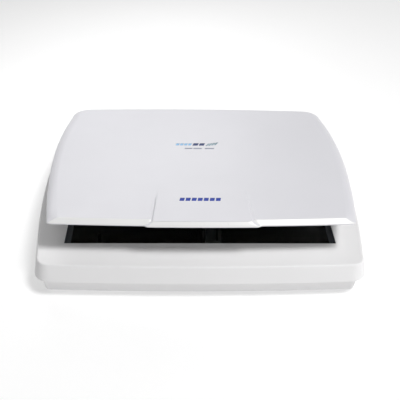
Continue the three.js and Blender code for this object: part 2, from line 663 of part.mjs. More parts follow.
function lidTab() {
  const { half, taper, front, depth, step, setBack } = TAB;
  const shape = new THREE.Shape();
  shape.moveTo(-half, front);
  shape.lineTo(half, front);
  shape.lineTo(half - taper, front + depth);
  shape.lineTo(-half + taper, front + depth);
  const lower = plate(shape, LID_RIM, LID_RIM + step);
  const upper = plate(shape, LID_RIM + step - 0.1, LID_TOP_FRONT - 0.8)
    .translate([0, setBack, 0]);
  return lower.add(upper);
}

function lidShell() {
  let shell = lidBody().add(lidTab());
  for (const [, side] of SIDES) {
    for (const inner of [side * HINGE.x - HINGE.barrelHalf - GAP - LUG_WIDTH,
      side * HINGE.x + HINGE.barrelHalf + GAP]) {
      shell = shell.add(block(inner, inner + LUG_WIDTH, HINGE.y - 4.5, HINGE.y + 3,
        HINGE.z - 4, lidTop(HINGE.y) - 2));
    }
  }
  for (const y of [LID_SCREWS.front, LID_SCREWS.rear]) {
    for (const [, side] of SIDES) {
      const x = side * LID_SCREWS.x;
      shell = shell.add(uprightRod(x, y, LID_SCREWS.boss, LID_RIM + 3.8, lidTop(y) - 1));
      shell = shell.subtract(uprightRod(x, y, LID_SCREWS.shank + 0.4, LID_RIM, lidTop(y) - 3.4));
    }
  }
  const rearRelief = block(-FAR, FAR, HINGE.y - 2, FAR, 0, HINGE.z - 2);
  shell = shell.subtract(rearRelief);
  for (const [, side] of SIDES) {
    const x = side * HINGE.x;
    const half = HINGE.barrelHalf + GAP;
    shell = shell.subtract(block(x - half, x + half, HINGE.y, FAR,
      0, HINGE.z + HINGE.barrelRadius + 0.6));
    shell = shell.subtract(crossRod(x - 12, x + 12, HINGE.y, HINGE.z, HINGE.pinRadius + GAP));
  }
  return shell;
}

const LINER = { inset: 9, bottom: LID_RIM + 1.5, top: LID_RIM + 3.2, rear: 124 };

function lidLiner() {
  let liner = plate(outline(LID, LINER.inset), LINER.bottom, LINER.top)
    .subtract(block(-FAR, FAR, LINER.rear, FAR, 0, FAR));
  for (const y of [LID_SCREWS.front, LID_SCREWS.rear]) {
    for (const [, side] of SIDES) {
      liner = liner.subtract(uprightRod(side * LID_SCREWS.x, y, LID_SCREWS.shank + 0.5, 0, FAR));
    }
  }
  return liner;
}

addToLid('lid_shell', lidShell(), MATERIALS.lidWhite);
addToLid('lid_liner', lidLiner(), MATERIALS.liner);
addToLid('document_pad', block(-WINDOW.half + 1.5, WINDOW.half - 1.5, WINDOW.front + 1.5,
  WINDOW.rear - 1.5, GLASS_TOP + GAP, LINER.bottom - GAP), MATERIALS.pad);
for (const [side, sign] of SIDES) {
  const x = sign * HINGE.x;
  const reach = HINGE.barrelHalf + LUG_WIDTH + 1.5;
  addToLid(`hinge_pin_${side}`, crossRod(x - reach, x + reach, HINGE.y, HINGE.z,
    HINGE.pinRadius), MATERIALS.steel);
  addToLid(`lid_bumper_${side}`, uprightRod(sign * BUMPER.x, BUMPER.y, BUMPER.radius, DECK + 0.5,
    LINER.bottom - GAP), MATERIALS.rubber);
  for (const [end, y] of [['front', LID_SCREWS.front], ['rear', LID_SCREWS.rear]]) {
    const head = uprightRod(sign * LID_SCREWS.x, y, LID_SCREWS.head, LINER.bottom - 1.5,
      LINER.bottom - GAP);
    const shank = uprightRod(sign * LID_SCREWS.x, y, LID_SCREWS.shank, LINER.bottom - 1,
      LID_RIM + 6);
    addToLid(`lid_screw_${end}_${side}`, head.add(shank), MATERIALS.zinc);
  }
}

export default scanner;
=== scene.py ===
"""A flatbed scanner for A4 sheets, standing on a pale studio floor with its lid ajar.

Sizes are in millimetres in the part's own frame: +X is right, +Y is back, +Z is up, and the
origin is on the desk under the middle of the base. The lid's pieces are drawn closed, and then
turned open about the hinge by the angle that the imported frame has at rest.
"""
import json
from collections import namedtuple
from math import cos, pi, radians, sin

import bmesh
import bpy
from mathutils import Matrix, Vector


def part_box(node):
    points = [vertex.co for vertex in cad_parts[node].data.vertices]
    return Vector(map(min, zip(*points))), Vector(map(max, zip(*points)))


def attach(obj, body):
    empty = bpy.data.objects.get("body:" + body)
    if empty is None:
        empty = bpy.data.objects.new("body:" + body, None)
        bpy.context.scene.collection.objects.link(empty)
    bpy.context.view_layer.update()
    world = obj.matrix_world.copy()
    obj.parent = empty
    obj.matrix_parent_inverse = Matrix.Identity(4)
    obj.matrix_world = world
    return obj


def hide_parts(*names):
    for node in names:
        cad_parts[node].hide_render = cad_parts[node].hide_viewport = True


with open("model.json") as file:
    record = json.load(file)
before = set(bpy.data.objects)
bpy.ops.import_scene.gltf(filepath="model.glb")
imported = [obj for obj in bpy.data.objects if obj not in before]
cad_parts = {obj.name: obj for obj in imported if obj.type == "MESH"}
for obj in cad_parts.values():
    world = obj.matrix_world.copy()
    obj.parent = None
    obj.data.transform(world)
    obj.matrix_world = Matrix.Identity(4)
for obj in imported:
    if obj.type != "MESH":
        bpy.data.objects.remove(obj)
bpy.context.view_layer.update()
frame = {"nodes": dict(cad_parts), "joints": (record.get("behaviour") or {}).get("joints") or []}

# ---------------- driving dimensions

MM = 0.001
JOINTS = {joint["name"]: joint for joint in frame["joints"]}
HINGE = Vector(JOINTS["lid_hinge"]["pos_m"]) / MM
LID_OPEN = radians(-JOINTS["lid_hinge"]["range_deg"][0])
TURN_OPEN = (Matrix.Translation(HINGE) @ Matrix.Rotation(-LID_OPEN, 4, "X")
             @ Matrix.Translation(-HINGE))


def box_of(node):
    """Lowest and highest corner of a CAD node at rest."""
    low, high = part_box(node)
    return low / MM, high / MM


def closed_box_of(node):
    """Lowest and highest corner that a node of the lid has when the lid is closed."""
    back = TURN_OPEN.inverted()
    points = [back @ (v.co / MM) for v in frame["nodes"][node].data.vertices]
    low = Vector(min(p[axis] for p in points) for axis in range(3))
    high = Vector(max(p[axis] for p in points) for axis in range(3))
    return low, high


# An outline seen from above. front and rear are the y of the middle of its front and rear edge,
# and bow is how far the ends of those edges curve inwards. The halves are half widths.
Plan = namedtuple("Plan", ["front", "rear", "bow", "front_half", "rear_half", "middle_half",
                           "front_radius", "rear_radius"])


def plain_plan(front, rear, half, radius):
    """A plan with straight sides and four like corners."""
    return Plan(front, rear, 0, half, half, half, radius, radius)


cover_low, cover_high = box_of("base_cover")
glass_low, glass_high = box_of("glass_pane")
lock_low, lock_high = box_of("carriage_lock")
shell_low, shell_high = closed_box_of("lid_shell")

CORNERS = ("front_left", "front_right", "rear_left", "rear_right")
WALL = 2.5

# How far a cutter reaches past the wall that it opens.
CUT_PAST = 5

# The base. Its upper case flares out to a skirt, and its lower case stands back under that.
FLARE = 5
SKIRT_LIFT = 0.4
SKIRT_BOTTOM = cover_low.z + SKIRT_LIFT
DECK = cover_high.z
DECK_ROUND = 1.7
BASE = Plan(front=cover_low.y + FLARE, rear=cover_high.y - FLARE, bow=3.5,
            front_half=182.3, rear_half=182.3, middle_half=cover_high.x - FLARE,
            front_radius=17, rear_radius=17)
TRAY = BASE._replace(front_radius=10, rear_radius=10)
TRAY_INSET_TOP = 2.5
TRAY_INSET_BOTTOM = 5
TRAY_BOTTOM = box_of("base_tray")[0].z
LEG_GAP = 0.35
LOCK_GAP = 0.4
LOCK_TRAVEL = JOINTS["transport_lock_slide"]["range_m"][1] / MM

GLASS_LAP = 5
WINDOW = plain_plan(glass_low.y + GLASS_LAP, glass_high.y - GLASS_LAP,
                    glass_high.x - GLASS_LAP, radius=1.2)

# The lid, closed. Its top rises to the back. Its edge is a steep bevel in front and a soft roll
# on the other sides, and a grip flares out of the middle of the front edge. A range is where a
# change starts and ends, in y, or in distance behind the front for the bevel and the roll.
GRIP_REACH = 2.4
LID = Plan(front=shell_low.y + GRIP_REACH, rear=shell_high.y, bow=4,
           front_half=166, rear_half=176, middle_half=shell_high.x,
           front_radius=6, rear_radius=26)
ROLL_WIDTH = 12
LID_CREST = Plan(front=LID.front + 4.9, rear=LID.rear - ROLL_WIDTH, bow=LID.bow,
                 front_half=LID.front_half - 11.5, rear_half=LID.rear_half - ROLL_WIDTH,
                 middle_half=LID.middle_half - ROLL_WIDTH, front_radius=1.5, rear_radius=19)
LID_RIM = shell_low.z
LID_WALL = 2.4
LID_RISE_FRONT = 5
LID_RISE_REAR = 21.8
LID_RISE_POWER = 1.5
LID_CROWN = 1.1
REAR_RIM_LIFT = 6.4
REAR_RIM_RANGE = (HINGE.y - 12, HINGE.y - 2)
BEVEL_DROP = 3.8
ROLL_DROP = 9
ROLL_DROP_RANGE = (10, 100)
BEVEL_TO_ROLL = (4, 24)
GRIP_HALF_RIM = 60
GRIP_HALF_CREST = 54.6
GRIP_HALF_REAR = 51.2
GRIP_REAR = -82
GRIP_RAISE = 0.9
GRIP_CREST_REACH = 3.4
GRIP_CREST_DROP = 0.9
GRIP_FRONT_RANGE = (LID_CREST.front + 20, LID_CREST.front + 4)
GRIP_REAR_RANGE = (GRIP_REAR + 4, GRIP_REAR - 22)
STEER_RANGE = (GRIP_REAR + 70, GRIP_REAR + 10)
GROOVE = 2
GROOVE_DEPTH = 0.8

# The stage. The camera's place and the floor are in millimetres. Each softbox is its name, its
# direction from the object, its distance and size in metres, and its power in watts.
CAMERA_PLACE = Vector((-25.81, -598.52, 521.63))
CAMERA_LENS = 53.54
CAMERA_PITCH = radians(40)
CAMERA_TURN = radians(2.689)
CAMERA_ROLL = radians(1.928)
FLOOR_FLAT = 3000
FLOOR_BEND = 3500
FLOOR_GLOW = 0.45
WORLD_GLOW = 0.05
LIGHT_AIM_HEIGHT = 0.05
SOFTBOXES = [
    ("key_light", (0.36, -0.31, 1), 2.2, 0.45, 38),
    ("low_right_fill", (1, -0.7, 0.24), 2.2, 0.7, 8.5),
    ("back_glow", (-0.1, 0.9, 0.7), 0.7, 0.4, 1),
    ("back_left_glow", (-0.6, 0.5, 0.8), 0.6, 0.35, 0.84),
]


def mix(a, b, share):
    """The value at a share of the way from a to b."""
    return a + (b - a) * share


def smooth(share):
    """0 below 0, 1 above 1, and an S-curve between."""
    share = min(max(share, 0), 1)
    return share * share * (3 - 2 * share)


def ease(value, start, end):
    """0 at start, 1 at end, and an S-curve between. end may be the smaller one."""
    return smooth((value - start) / (end - start))


def quarter_turn(steps):
    """Angles from 0 to a quarter turn."""
    return [pi / 2 * i / steps for i in range(steps + 1)]


# ---------------- outlines and lofts

def outline_curves(plan, inset):
    """The eight quadratic curves of a plan's outline, anticlockwise from its front edge."""
    front, rear = plan.front + inset, plan.rear - inset
    fh, rh = plan.front_half - inset, plan.rear_half - inset
    bulge = 2 * (plan.middle_half - inset) - (fh + rh) / 2
    fr = max(plan.front_radius - inset, 0.6)
    rr = max(plan.rear_radius - inset, 0.6)
    fy, ry = front + plan.bow, rear - plan.bow
    middle = (front + rear) / 2
    return [
        ((-(fh - fr), fy), (0, front - plan.bow), (fh - fr, fy)),
        ((fh - fr, fy), (fh, fy), (fh, fy + fr)),
        ((fh, fy + fr), (bulge, middle), (rh, ry - rr)),
        ((rh, ry - rr), (rh, ry), (rh - rr, ry)),
        ((rh - rr, ry), (0, rear + plan.bow), (-(rh - rr), ry)),
        ((-(rh - rr), ry), (-rh, ry), (-rh, ry - rr)),
        ((-rh, ry - rr), (-bulge, middle), (-fh, fy + fr)),
        ((-fh, fy + fr), (-fh, fy), (-(fh - fr), fy)),
    ]


def outline_point(plan, inset, place):
    """The point at place, a curve's number and the share of its length, as (x, y)."""
    curve, t = place
    a, control, b = outline_curves(plan, inset)[curve]
    return tuple(a[i] * (1 - t) ** 2 + control[i] * 2 * t * (1 - t) + b[i] * t * t
                 for i in range(2))


def walk(across, side_steps, corner_steps):
    """Places round an outline, anticlockwise from the middle of the front left corner.

    across holds the shares of the front and rear edges that get a point, from 0 up to 1."""
    first = [i / corner_steps / 2 for i in range(corner_steps)]
    second = [0.5 + t for t in first]
    along = [i / side_steps for i in range(side_steps)]
    places = []
    for corner, edge, shares in ((7, 0, across), (1, 2, along), (3, 4, across), (5, 6, along)):
        places += [(corner, t) for t in second]
        places += [(edge, t) for t in shares]
        places += [((edge + 1) % 8, t) for t in first]
    return places


def even(steps):
    return [i / steps for i in range(steps)]


def flat_ring(plan, inset, height, places):
    return [Vector((*outline_point(plan, inset, place), height)) for place in places]


def bridge(bm, lower, upper):
    """Joins two rings of vertices with quads that face outwards when upper is above lower."""
    count = len(lower)
    for i in range(count):
        j = (i + 1) % count
        bm.faces.new((lower[i], lower[j], upper[j], upper[i]))


def add_rings(bm, rings):
    made = [[bm.verts.new(point) for point in ring] for ring in rings]
    for lower, upper in zip(made, made[1:]):
        bridge(bm, lower, upper)
    return made


def coons_points(ring, columns, rows):
    """Inner points of a grid that fills a closed ring of 2 * (columns + rows) points."""
    count = len(ring)
    left_front, right_front = ring[0], ring[columns]
    right_rear, left_rear = ring[columns + rows], ring[2 * columns + rows]
    grid = {}
    for i in range(1, columns):
        front, rear = ring[i], ring[2 * columns + rows - i]
        u = (front.x - left_front.x) / (right_front.x - left_front.x)
        for j in range(1, rows):
            left, right = ring[(count - j) % count], ring[columns + j]
            v = (right.y - right_front.y) / (right_rear.y - right_front.y)
            edges = (1 - v) * front + v * rear + (1 - u) * left + u * right
            corners = ((1 - u) * ((1 - v) * left_front + v * left_rear)
                       + u * ((1 - v) * right_front + v * right_rear))
            grid[i, j] = edges - corners
    return grid


def fill_ring(bm, ring, columns, rows, shape=None, facing_up=True):
    """Fills a ring of vertices with a grid. shape turns its inner points into their final ones."""
    count = len(ring)
    inner = coons_points([v.co.copy() for v in ring], columns, rows)
    if shape:
        inner = shape(inner)
    grid = {place: bm.verts.new(point) for place, point in inner.items()}
    for i in range(columns + 1):
        grid[i, 0] = ring[i]
        grid[i, rows] = ring[2 * columns + rows - i]
    for j in range(rows + 1):
        grid[0, j] = ring[(count - j) % count]
        grid[columns, j] = ring[columns + j]
    for i in range(columns):
        for j in range(rows):
            corners = [grid[i, j], grid[i + 1, j], grid[i + 1, j + 1], grid[i, j + 1]]
            bm.faces.new(corners if facing_up else corners[::-1])


# ---------------- making pieces

def write_mesh(bm, mesh):
    """Writes a bmesh to a mesh with its faces turned outwards, and frees it."""
    bmesh.ops.recalc_face_normals(bm, faces=bm.faces)
    bm.to_mesh(mesh)
    bm.free()


def new_piece(name, bm, material, turn=None):
    """A smooth-shaded object made of a bmesh in millimetres, turned first where turn is given."""
    if turn is not None:
        bm.transform(turn)
    bm.transform(Matrix.Scale(MM, 4))
    mesh = bpy.data.meshes.new(name)
    write_mesh(bm, mesh)
    mesh.shade_smooth()
    mesh.materials.append(material)
    piece = bpy.data.objects.new(name, mesh)
    bpy.context.scene.collection.objects.link(piece)
    return piece


def settle(piece):
    """Applies a piece's modifiers to its mesh."""
    graph = bpy.context.evaluated_depsgraph_get()
    mesh = bpy.data.meshes.new_from_object(piece.evaluated_get(graph))
    piece.modifiers.clear()
    piece.data = mesh


def weigh_normals(piece):
    """Keeps flat faces flat in shading, so that only the narrow rounded edges turn the light."""
    piece.data.set_sharp_from_angle(angle=radians(38))
    weighted = piece.modifiers.new("weighted_normals", "WEIGHTED_NORMAL")
    weighted.keep_sharp = True


def paint(piece, material, chosen):
    """Gives a second material to the faces whose middle, in millimetres, and normal are chosen."""
    piece.data.materials.append(material)
    for face in piece.data.polygons:
        if chosen(face.center / MM, face.normal):
            face.material_index = 1


def place(piece, body, slot, *nodes):
    """Hangs a piece on its body, and hides the CAD nodes that it stands in for."""
    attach(piece, body)
    if nodes:
        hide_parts(*nodes)


def turn_in_place(piece, move):
    """Moves a finished piece by a matrix that is in millimetres."""
    piece.data.transform(Matrix.Scale(MM, 4) @ move @ Matrix.Scale(1 / MM, 4))


def add_block(bm, low, high, rounding, segments):
    """Adds a block with rounded edges."""
    low, high = Vector(low), Vector(high)
    middle, size = (low + high) / 2, high - low
    shape = Matrix.Translation(middle) @ Matrix.Diagonal((*size, 1))
    made = bmesh.ops.create_cube(bm, size=1, matrix=shape)
    edges = list({edge for vert in made["verts"] for edge in vert.link_edges})
    bmesh.ops.bevel(bm, geom=edges, offset=rounding, segments=segments,
                    affect="EDGES", profile=0.5)


def add_lathe(bm, profile, centre, steps):
    """Adds a closed solid turned round an upright axis. profile is (radius, height) from the
    axis at the bottom, round the outside, to the axis at the top."""
    rings = []
    for radius, height in profile:
        if radius == 0:
            rings.append([bm.verts.new((centre[0], centre[1], height))])
            continue
        rings.append([bm.verts.new((centre[0] + radius * cos(2 * pi * i / steps),
                                    centre[1] + radius * sin(2 * pi * i / steps), height))
                      for i in range(steps)])
    for lower, upper in zip(rings, rings[1:]):
        for i in range(steps):
            j = (i + 1) % steps
            around = [lower[i % len(lower)], lower[j % len(lower)],
                      upper[j % len(upper)], upper[i % len(upper)]]
            bm.faces.new(list(dict.fromkeys(around)))


def cut(piece, *blocks):
    """Cuts rounded blocks, each (low, high, rounding), out of a piece."""
    for low, high, rounding in blocks:
        bm = bmesh.new()
        add_block(bm, low, high, rounding, 3)
        cutter = new_piece("cutter", bm, piece.data.materials[0])
        boolean = piece.modifiers.new("cut", "BOOLEAN")
        boolean.operation = "DIFFERENCE"
        boolean.solver = "EXACT"
        boolean.object = cutter
        settle(piece)
        bpy.data.objects.remove(cutter)


# ---------------- materials

def new_material(name):
    """A material with its node tree and its principled shader."""
    material = bpy.data.materials.new(name)
    material.use_nodes = True
    tree = material.node_tree
    shader = tree.nodes["Principled BSDF"]
    return material, tree, shader


def set_inputs(node, inputs):
    for name, value in inputs.items():
        node.inputs[name].default_value = value


def add_node(tree, kind, inputs):
    node = tree.nodes.new(kind)
    set_inputs(node, inputs)
    return node


def object_place(tree):
    """The socket that gives a place in the object's own coordinates, in metres."""
    return add_node(tree, "ShaderNodeTexCoord", {}).outputs["Object"]


def add_noise(tree, scale, detail, stretch=None):
    """Noise in the object's own coordinates. scale is its number of features in a metre."""
    source = object_place(tree)
    if stretch:
        mapping = add_node(tree, "ShaderNodeMapping", {"Scale": stretch})
        tree.links.new(source, mapping.inputs["Vector"])
        source = mapping.outputs["Vector"]
    noise = add_node(tree, "ShaderNodeTexNoise", {"Scale": scale, "Detail": detail})
    tree.links.new(source, noise.inputs["Vector"])
    return noise.outputs["Fac"]


def link_range(tree, source, target, low, high):
    """Drives a socket by a texture value, spread from low to high."""
    spread = add_node(tree, "ShaderNodeMapRange", {"From Min": 0.3, "From Max": 0.7,
                                                   "To Min": low, "To Max": high})
    tree.links.new(source, spread.inputs["Value"])
    tree.links.new(spread.outputs["Result"], target)


def link_colours(tree, source, target, first, second):
    """Drives a colour by a texture value, from the first colour to the second."""
    ramp = add_node(tree, "ShaderNodeValToRGB", {})
    ramp.color_ramp.elements[0].position = 0.32
    ramp.color_ramp.elements[0].color = (*first, 1)
    ramp.color_ramp.elements[1].position = 0.68
    ramp.color_ramp.elements[1].color = (*second, 1)
    tree.links.new(source, ramp.inputs["Fac"])
    tree.links.new(ramp.outputs["Color"], target)


def link_bump(tree, source, shader, depth, strength, below=None):
    """Bumps depth metres deep. below is a bump node that this one adds to."""
    bump = add_node(tree, "ShaderNodeBump", {"Strength": strength, "Distance": depth})
    tree.links.new(source, bump.inputs["Height"])
    if below is not None:
        tree.links.new(below.outputs["Normal"], bump.inputs["Normal"])
    tree.links.new(bump.outputs["Normal"], shader.inputs["Normal"])
    return bump


def scaled(colour, factor):
    return tuple(channel * factor for channel in colour)


def moulded_plastic(name, colour, roughness, grain=1400):
    """Spark-textured moulded plastic: a fine even grain over faint flow marks."""
    material, tree, shader = new_material(name)
    flow = add_noise(tree, 9, 4)
    link_colours(tree, flow, shader.inputs["Base Color"], scaled(colour, 0.975), colour)
    link_range(tree, add_noise(tree, 45, 5), shader.inputs["Roughness"],
               roughness - 0.05, roughness + 0.05)
    broad = link_bump(tree, add_noise(tree, 30, 2), shader, 0.00006, 0.25)
    link_bump(tree, add_noise(tree, grain, 2), shader, 0.00004, 0.5, broad)
    set_inputs(shader, {"IOR": 1.5, "Specular IOR Level": 0.45})
    return material


def clear_glass():
    """Coated float glass, which reflects little, with faint wipe marks in its gloss."""
    material, tree, shader = new_material("clear_glass")
    smears = add_noise(tree, 14, 6, (1, 5, 1))
    link_range(tree, smears, shader.inputs["Roughness"], 0.0, 0.035)
    link_colours(tree, smears, shader.inputs["Base Color"], (0.86, 0.9, 0.9), (0.9, 0.93, 0.93))
    link_bump(tree, add_noise(tree, 6, 1), shader, 0.00002, 0.3)
    set_inputs(shader, {"IOR": 1.2, "Transmission Weight": 1.0})
    return material


def printed_film(name, colour, roughness):
    """Ink printed under or on a surface, slightly uneven."""
    material, tree, shader = new_material(name)
    mottle = add_noise(tree, 260, 3)
    link_colours(tree, mottle, shader.inputs["Base Color"], scaled(colour, 0.9), colour)
    link_range(tree, mottle, shader.inputs["Roughness"], roughness - 0.05, roughness + 0.08)
    link_bump(tree, mottle, shader, 0.00002, 0.4)
    return material


def black_plastic(name, colour, roughness, gloss):
    """Dark moulded plastic with a fine grain. gloss is its specular level."""
    material, tree, shader = new_material(name)
    mould = add_noise(tree, 70, 5)
    link_colours(tree, mould, shader.inputs["Base Color"], scaled(colour, 0.8), colour)
    link_range(tree, mould, shader.inputs["Roughness"], roughness - 0.06, roughness + 0.08)
    link_bump(tree, add_noise(tree, 1100, 2), shader, 0.00005, 0.5)
    set_inputs(shader, {"Specular IOR Level": gloss})
    return material


def foot_rubber():
    """Dull black rubber with a dusty bloom."""
    material, tree, shader = new_material("foot_rubber")
    bloom = add_noise(tree, 160, 6)
    link_colours(tree, bloom, shader.inputs["Base Color"], (0.018, 0.018, 0.019),
                 (0.05, 0.05, 0.048))
    link_range(tree, bloom, shader.inputs["Roughness"], 0.72, 0.92)
    link_bump(tree, add_noise(tree, 900, 3), shader, 0.00008, 0.6)
    set_inputs(shader, {"Specular IOR Level": 0.3})
    return material


def bright_metal(name, colour, roughness, scale, stretch):
    """Drawn or plated metal, its marks drawn out along one direction by stretch."""
    material, tree, shader = new_material(name)
    marks = add_noise(tree, scale, 6, stretch)
    link_colours(tree, marks, shader.inputs["Base Color"], scaled(colour, 0.8), colour)
    link_range(tree, marks, shader.inputs["Roughness"], roughness - 0.08, roughness + 0.12)
    link_bump(tree, marks, shader, 0.00003, 0.4)
    set_inputs(shader, {"Metallic": 1.0})
    return material


def nylon_white():
    """Off-white nylon, a little translucent."""
    material, tree, shader = new_material("nylon_white")
    cloud = add_noise(tree, 60, 4)
    link_colours(tree, cloud, shader.inputs["Base Color"], (0.74, 0.73, 0.69), (0.83, 0.82, 0.79))
    link_range(tree, cloud, shader.inputs["Roughness"], 0.38, 0.52)
    link_bump(tree, add_noise(tree, 700, 2), shader, 0.00003, 0.4)
    set_inputs(shader, {"Subsurface Weight": 0.08, "Subsurface Scale": 0.002})
    return material


def pad_white():
    """A white film over foam, which shows a fine dimpled cell."""
    material, tree, shader = new_material("pad_white")
    cells = add_node(tree, "ShaderNodeTexVoronoi", {"Scale": 620})
    tree.links.new(object_place(tree), cells.inputs["Vector"])
    cloud = add_noise(tree, 18, 4)
    link_colours(tree, cloud, shader.inputs["Base Color"], (0.8, 0.8, 0.785), (0.87, 0.87, 0.86))
    link_range(tree, cloud, shader.inputs["Roughness"], 0.6, 0.75)
    soft = link_bump(tree, add_noise(tree, 22, 3), shader, 0.0004, 0.3)
    link_bump(tree, cells.outputs["Distance"], shader, 0.0001, 0.5, soft)
    set_inputs(shader, {"Sheen Weight": 0.15})
    return material


def board_green():
    """Green solder mask over fine copper tracks."""
    material, tree, shader = new_material("board_green")
    tracks = add_node(tree, "ShaderNodeTexBrick", {
        "Scale": 160, "Mortar Size": 0.08, "Color1": (0.012, 0.09, 0.04, 1),
        "Color2": (0.016, 0.12, 0.05, 1), "Mortar": (0.04, 0.2, 0.09, 1)})
    tree.links.new(object_place(tree), tracks.inputs["Vector"])
    tree.links.new(tracks.outputs["Color"], shader.inputs["Base Color"])
    link_range(tree, add_noise(tree, 120, 3), shader.inputs["Roughness"], 0.3, 0.45)
    link_bump(tree, tracks.outputs["Fac"], shader, 0.00005, 0.6)
    return material


LID_WHITE = (0.688, 0.685, 0.718)
# The front bevel is the lid's plastic in a lighter white: a painted highlight. Its lower roughness
# is a real smoother finish.
BEVEL_PAINTED_HIGHLIGHT = (0.79, 0.79, 0.785)
BASE_WHITE = (0.805, 0.8, 0.805)
LINER_WHITE = (0.72, 0.725, 0.71)
MATERIALS = {
    "lid_white": moulded_plastic("lid_white", LID_WHITE, 0.4),
    "bevel_painted_highlight": moulded_plastic("bevel_painted_highlight", BEVEL_PAINTED_HIGHLIGHT, 0.32),
    "base_white": moulded_plastic("base_white", BASE_WHITE, 0.5),
    "liner_white": moulded_plastic("liner_white", LINER_WHITE, 0.4, 900),
    "pad_white": pad_white(),
    "clear_glass": clear_glass(),
    "border_film": printed_film("border_film", (0.06, 0.062, 0.075), 0.55),
    # The inside of the case is near black: partly its own black finish, and partly painted shade,
    # darker than any black plastic.
    "inner_black": black_plastic("inner_black", (0.003, 0.003, 0.0035), 0.8, 0.05),
    "chip_black": black_plastic("chip_black", (0.012, 0.012, 0.013), 0.45, 0.5),
    "reference_white": printed_film("reference_white", (0.75, 0.75, 0.74), 0.6),
    "foot_rubber": foot_rubber(),
    "plain_steel": bright_metal("plain_steel", (0.62, 0.62, 0.63), 0.26, 90, (1, 14, 14)),
    "zinc_plate": bright_metal("zinc_plate", (0.52, 0.53, 0.54), 0.38, 420, (1, 1, 1)),
    "nylon_white": nylon_white(),
    "board_green": board_green(),
    "blue_ink": printed_film("blue_ink", (0.012, 0.045, 0.36), 0.4),
    "sky_ink": printed_film("sky_ink", (0.28, 0.52, 0.78), 0.4),
    "navy_ink": printed_film("navy_ink", (0.03, 0.05, 0.16), 0.4),
    "teal_ink": printed_film("teal_ink", (0.22, 0.33, 0.38), 0.4),
    "grey_ink": printed_film("grey_ink", (0.32, 0.34, 0.42), 0.45),
}

# ---------------- base cover

BASE_WALK = walk(even(40), 30, 9)


def base_cover():
    """The upper case: a flared skirt, a rounded top edge, and a lip round the glass."""
    edge, glass_gap = 0.4, 0.3
    lip_bottom = glass_high.z + glass_gap
    roof = DECK - WALL
    slope = FLARE / (DECK - SKIRT_BOTTOM)
    outer = [
        (edge - FLARE, SKIRT_BOTTOM),
        (edge * 0.3 - FLARE, SKIRT_BOTTOM + edge * 0.3),
        (edge * slope - FLARE, SKIRT_BOTTOM + edge),
        (-slope * DECK_ROUND * 2, DECK - DECK_ROUND * 2),
    ]
    for turn in quarter_turn(6):
        outer.append((DECK_ROUND * (1 - cos(turn)), DECK - DECK_ROUND * (1 - sin(turn))))
    outer.append((DECK_ROUND + 1, DECK))
    window = [(-0.9, DECK), (-0.25, DECK - 0.2), (0, DECK - 0.7), (0, lip_bottom)]
    pocket = [(-GLASS_LAP - glass_gap, lip_bottom), (-GLASS_LAP - glass_gap, roof)]
    inner = [(WALL, roof), (WALL - FLARE, SKIRT_BOTTOM)]
    rings = [flat_ring(BASE, inset, height, BASE_WALK) for inset, height in outer]
    rings += [flat_ring(WINDOW, inset, height, BASE_WALK) for inset, height in window + pocket]
    rings += [flat_ring(BASE, inset, height, BASE_WALK) for inset, height in inner]
    bm = bmesh.new()
    made = add_rings(bm, rings)
    bridge(bm, made[-1], made[0])
    piece = new_piece("top_case", bm, MATERIALS["base_white"])
    cut(piece, *[leg_slot(side) for side in (-1, 1)])
    add_sleeves(piece)
    weigh_normals(piece)
    place(piece, "base", "base_white", "base_cover")


def leg_box(side):
    """The upright bar of a hinge leg: its edges in x and in y."""
    low, high = box_of("hinge_leg_left" if side < 0 else "hinge_leg_right")
    bar_half = 2.1
    return low.x, high.x, HINGE.y - bar_half, HINGE.y + bar_half


def leg_slot(side):
    """The hole in the deck that a hinge leg slides through."""
    x0, x1, y0, y1 = leg_box(side)
    rounding = 0.5
    return ((x0 - LEG_GAP, y0 - LEG_GAP, SKIRT_BOTTOM),
            (x1 + LEG_GAP, y1 + LEG_GAP, DECK + CUT_PAST), rounding)


def add_sleeves(piece):
    """The two sleeves under the deck that the hinge legs slide in."""
    wall, bottom, top = 1.6, 31, DECK - 1
    bm = bmesh.new()
    bm.from_mesh(piece.data)
    for side in (-1, 1):
        x0, x1, y0, y1 = leg_box(side)
        middle = Vector(((x0 + x1) / 2, 0, 0))
        half = (x1 - x0) / 2 + LEG_GAP
        shaft = plain_plan(y0 - LEG_GAP, y1 + LEG_GAP, half, radius=1)
        rings = []
        for inset, height in ((-wall, bottom), (-wall, top), (0, top), (0, bottom)):
            ring = flat_ring(shaft, inset, height, walk(even(6), 3, 3))
            rings.append([(point + middle) * MM for point in ring])
        made = add_rings(bm, rings)
        bridge(bm, made[-1], made[0])
    write_mesh(bm, piece.data)


# ---------------- base tray

